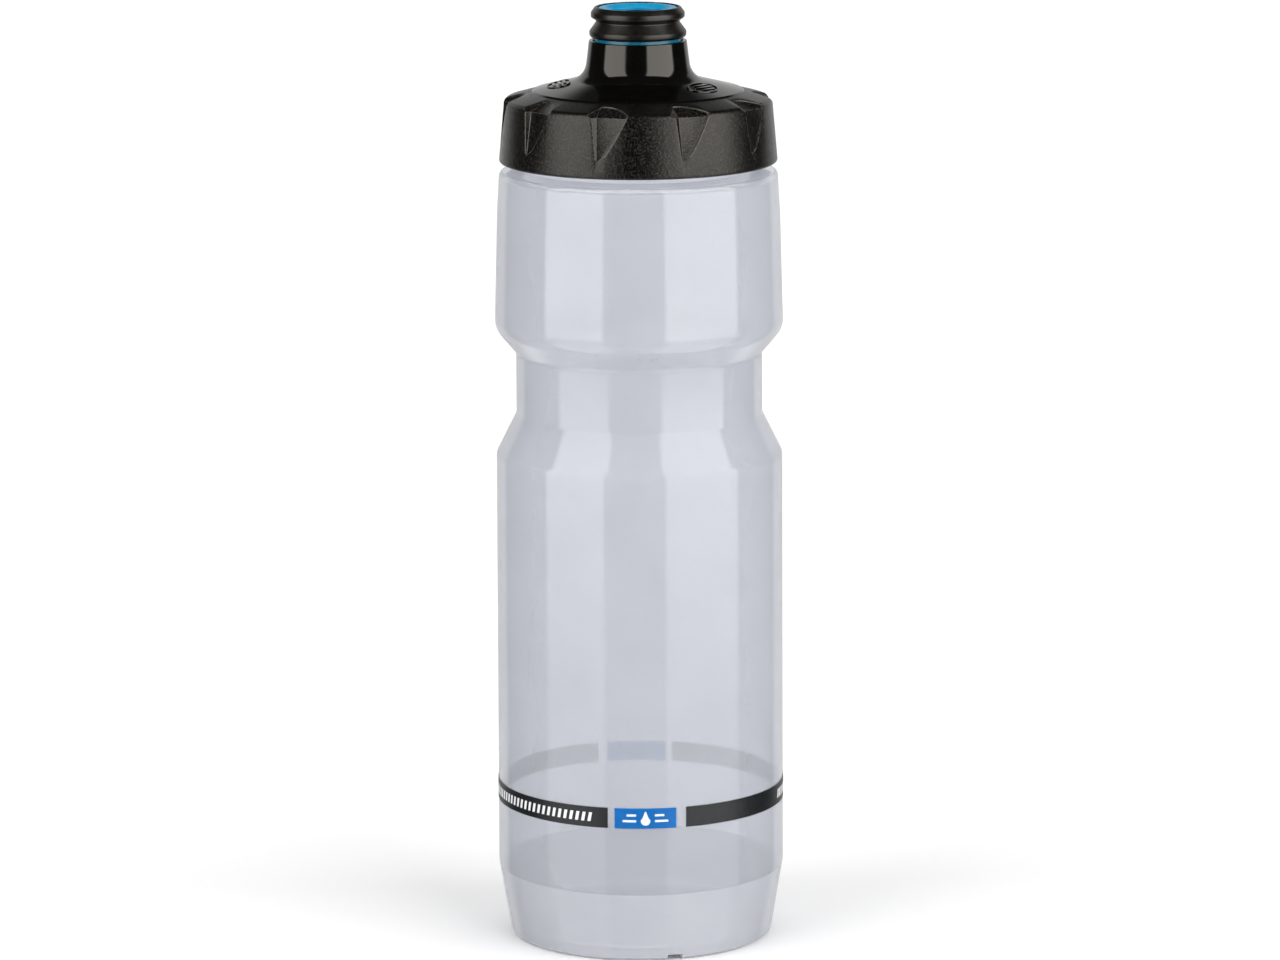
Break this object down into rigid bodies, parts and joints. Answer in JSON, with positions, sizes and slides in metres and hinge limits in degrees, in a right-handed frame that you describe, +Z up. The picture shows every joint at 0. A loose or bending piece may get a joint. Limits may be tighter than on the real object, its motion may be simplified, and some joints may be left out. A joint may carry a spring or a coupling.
{
  "type": "water bottle",
  "caption": "Bicycle water bottle: waisted squeeze body, screw lid with grip notches, and a push-pull nozzle with a slit valve.",
  "frame": {"origin": "centre of the base, on the surface the bottle stands on", "axes": "+Z up along the bottle's axis, -Y the printed front, +X to its right seen from the front"},
  "size_m": [0.074, 0.074, 0.2414],
  "materials": {
    "translucent_body": "milky translucent squeeze plastic",
    "black_lid": "fine-grained skirt, glossy deck and tower",
    "black_plug": "satin",
    "seal_silicone": "soft",
    "seal_rubber": "soft",
    "soft_grip": "satin soft-touch",
    "blue_core": "satin",
    "blue_ring": "satin",
    "blue_silicone": "soft"
  },
  "bodies": {
    "bottle": {"bottle_body": "translucent_body"},
    "gasket": {"lid_gasket": "seal_silicone"},
    "lid": {"lid_cap": "black_lid", "shutoff_plug": "black_plug"},
    "nozzle_slide": {"nozzle_seal": "seal_rubber"},
    "nozzle": {"nozzle_core": "blue_core", "nozzle_grip": "soft_grip", "valve_membrane": "blue_silicone", "membrane_ring": "blue_ring"}
  },
  "joints": [
    {"name": "lid_lift", "type": "slide", "parent": "bottle", "child": "gasket", "axis": [0, 0, 1], "range_m": [0, 0.0071]},
    {"name": "lid_turn", "type": "hinge", "parent": "gasket", "child": "lid", "pos_m": [0, 0, 0.2018], "axis": [0, 0, 1], "range_deg": [0, 630]},
    {"name": "nozzle_pull", "type": "slide", "parent": "lid", "child": "nozzle_slide", "axis": [0, 0, 1], "range_m": [0, 0.006]},
    {"name": "nozzle_spin", "type": "hinge", "parent": "nozzle_slide", "child": "nozzle", "pos_m": [0, 0, 0.2336], "axis": [0, 0, 1], "continuous": true}
  ],
  "couplings": [
    {"joint": "lid_lift", "follows": "lid_turn", "m_per_rad": 0.00063662}
  ]
}
